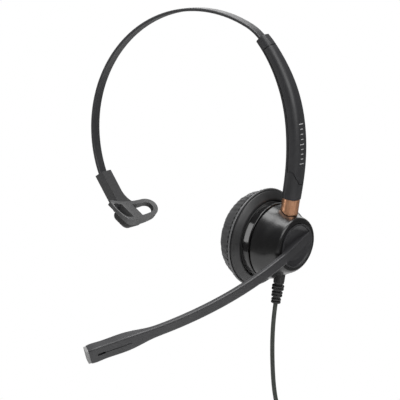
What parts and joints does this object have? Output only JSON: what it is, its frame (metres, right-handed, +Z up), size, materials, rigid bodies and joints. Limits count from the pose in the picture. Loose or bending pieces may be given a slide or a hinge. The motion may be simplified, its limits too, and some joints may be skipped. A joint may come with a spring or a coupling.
{
  "type": "office headset",
  "caption": "Single-ear office headset: slim spring band with a T-bar, sliding arm, swivelling gloss ear cup with padded cushion, pivoting boom microphone and a coiled lead.",
  "frame": {"origin": "inner apex of the headband, where it rests on the wearer's head", "axes": "+Z up, +X from the T-bar to the ear cup, -Y to the front, where the boom points"},
  "size_m": [0.1416, 0.148, 0.3321],
  "materials": {
    "spring_steel": "brushed",
    "band_satin": "satin",
    "arm_satin": "satin",
    "tbar_matte": "fine matte texture",
    "rubber_black": "matte",
    "screw_steel": "plain",
    "copper": "brushed",
    "cup_gloss": "gloss",
    "inner_plastic": "matte",
    "driver_metal": "satin",
    "cone_film": "satin",
    "board_green": "satin",
    "leatherette": "soft satin",
    "speaker_fabric": "fine knit",
    "cable_jacket": "satin",
    "tie_strap": "hook and loop",
    "plug_metal": "polished",
    "plug_shell": "satin",
    "boom_satin": "satin",
    "boom_end_grey": "matte"
  },
  "bodies": {
    "headband": {"spring_band": "spring_steel", "band_coating": "band_satin", "band_stop": "arm_satin", "tbar_frame": "tbar_matte", "tbar_core": "rubber_black"},
    "arm": {"arm_end_cap": "arm_satin", "arm_frame": "arm_satin", "arm_cover": "arm_satin", "detent_spring": "spring_steel", "arm_screws": "screw_steel"},
    "cup": {"collar": "copper", "swivel_shaft": "spring_steel", "shaft_clip": "spring_steel", "cup_housing": "cup_gloss", "cup_bezel": "cup_gloss", "cup_gasket": "rubber_black", "baffle": "inner_plastic", "speaker_driver": "driver_metal", "speaker_cone": "cone_film", "circuit_board": "board_green", "cushion_ring": "inner_plastic", "ear_cushion": "leatherette", "speaker_cloth": "speaker_fabric", "housing_screws": "screw_steel", "strain_relief": "rubber_black", "cable_tube": "cable_jacket", "cable_coil": "cable_jacket", "cable_tie": "tie_strap", "cable_tail": "cable_jacket", "plug_contacts": "plug_metal", "plug_body": "plug_shell", "plug_boot": "rubber_black"},
    "boom": {"boom_disc": "boom_satin", "boom_shaft": "spring_steel", "boom_clip": "spring_steel", "friction_washer": "inner_plastic", "boom_front_shell": "boom_satin", "boom_back_shell": "boom_satin", "boom_end_cap": "boom_end_grey", "mic_capsule": "driver_metal", "mic_seal": "rubber_black", "mic_lead": "cable_jacket"}
  },
  "joints": [
    {"name": "arm_slide", "type": "hinge", "parent": "headband", "child": "arm", "pos_m": [-0.0223, 0, -0.07], "axis": [0, 1, 0], "range_deg": [0, 20]},
    {"name": "cup_swivel", "type": "hinge", "parent": "arm", "child": "cup", "pos_m": [0.0557, 0, -0.1281], "axis": [0.1564, 0, 0.9877], "range_deg": [-19, 41]},
    {"name": "boom_turn", "type": "hinge", "parent": "cup", "child": "boom", "pos_m": [0.06514, -0.00179, -0.12777], "axis": [0.9743, -0.1894, -0.1219], "range_deg": [-95, 55]}
  ]
}
